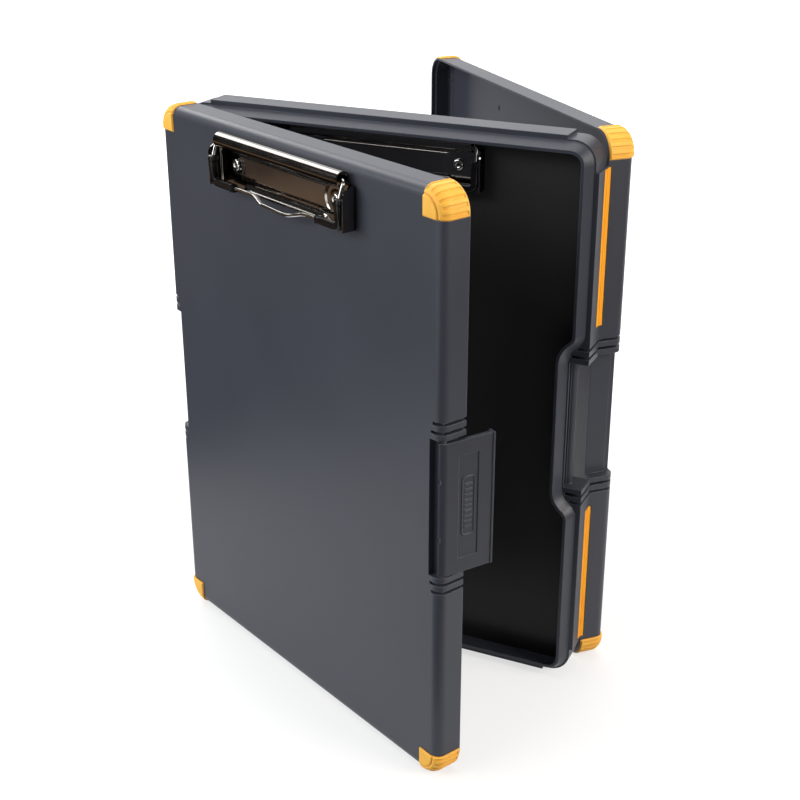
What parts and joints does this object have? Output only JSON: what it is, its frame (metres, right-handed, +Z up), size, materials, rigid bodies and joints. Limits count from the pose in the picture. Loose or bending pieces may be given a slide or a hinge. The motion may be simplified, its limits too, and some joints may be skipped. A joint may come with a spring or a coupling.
{
  "type": "storage clipboard box",
  "caption": "Slim two-sided storage clipboard: a double-sided tray between two hinged, latched lids, with spring wire clips, corner bumpers and soft hinge strips.",
  "frame": {"origin": "middle of the tray's bottom face, which the open case stands on", "axes": "+Z up along the hinges, +X along the tray's width, -Y towards the front lid"},
  "size_m": [0.2699, 0.3296, 0.332],
  "materials": {
    "shell_plastic": "fine-grained moulded plastic, dark slate grey",
    "hinge_strip": "soft orange-yellow elastomer, matte",
    "bumper": "soft orange-yellow elastomer, matte",
    "sleeve_rubber": "black rubber, satin",
    "clip_steel": "dark nickel plated steel, mirror",
    "bright_steel": "bright nickel plated steel"
  },
  "bodies": {
    "tray": {"tray": "shell_plastic", "front_hinge_upper_tray_leaf": "hinge_strip", "front_hinge_lower_tray_leaf": "hinge_strip", "rear_hinge_upper_tray_leaf": "hinge_strip", "rear_hinge_lower_tray_leaf": "hinge_strip", "inner_clip_plate": "clip_steel", "inner_clip_rivets": "bright_steel", "inner_clip_springs": "bright_steel"},
    "inner_bail": {"inner_clip_bail": "bright_steel", "inner_clip_sleeve_left": "sleeve_rubber", "inner_clip_sleeve_right": "sleeve_rubber"},
    "front_lid": {"front_lid": "shell_plastic", "front_hinge_upper_lid_leaf": "hinge_strip", "front_hinge_lower_lid_leaf": "hinge_strip", "front_bumper_top_left": "bumper", "front_bumper_top_right": "bumper", "front_bumper_bottom_left": "bumper", "front_bumper_bottom_right": "bumper", "front_latch_pin": "bright_steel", "outer_clip_plate": "clip_steel", "outer_clip_rivets": "bright_steel", "outer_clip_springs": "bright_steel"},
    "front_latch": {"front_latch": "shell_plastic"},
    "outer_bail": {"outer_clip_bail": "bright_steel", "outer_clip_sleeve_left": "sleeve_rubber", "outer_clip_sleeve_right": "sleeve_rubber"},
    "rear_lid": {"rear_lid": "shell_plastic", "rear_hinge_upper_lid_leaf": "hinge_strip", "rear_hinge_lower_lid_leaf": "hinge_strip", "rear_bumper_top_left": "bumper", "rear_bumper_top_right": "bumper", "rear_bumper_bottom_left": "bumper", "rear_bumper_bottom_right": "bumper", "rear_latch_pin": "bright_steel"},
    "rear_latch": {"rear_latch": "shell_plastic"}
  },
  "joints": [
    {"name": "front_lid_hinge", "type": "hinge", "parent": "tray", "child": "front_lid", "pos_m": [-0.1269, -0.008, 0.166], "axis": [0, 0, -1], "range_deg": [-26, 154]},
    {"name": "rear_lid_hinge", "type": "hinge", "parent": "tray", "child": "rear_lid", "pos_m": [0.1269, 0.008, 0.166], "axis": [0, 0, -1], "range_deg": [-44.4, 135.6]},
    {"name": "front_latch_pivot", "type": "hinge", "parent": "front_lid", "child": "front_latch", "pos_m": [0.09291, -0.12967, 0.166], "axis": [0, 0, -1], "range_deg": [-7, 98]},
    {"name": "rear_latch_pivot", "type": "hinge", "parent": "rear_lid", "child": "rear_latch", "pos_m": [-0.04327, 0.19283, 0.166], "axis": [0, 0, -1], "range_deg": [-7, 98]},
    {"name": "outer_bail_pivot", "type": "hinge", "parent": "front_lid", "child": "outer_bail", "pos_m": [-0.02244, -0.08331, 0.323], "axis": [-0.8988, 0.4384, 0], "range_deg": [0, 85], "stiffness_Nm_per_rad": 0.05, "springref_deg": -34.38},
    {"name": "inner_bail_pivot", "type": "hinge", "parent": "tray", "child": "inner_bail", "pos_m": [0, -0.0056, 0.321], "axis": [-1, 0, 0], "range_deg": [0, 85], "stiffness_Nm_per_rad": 0.05, "springref_deg": -34.38}
  ]
}
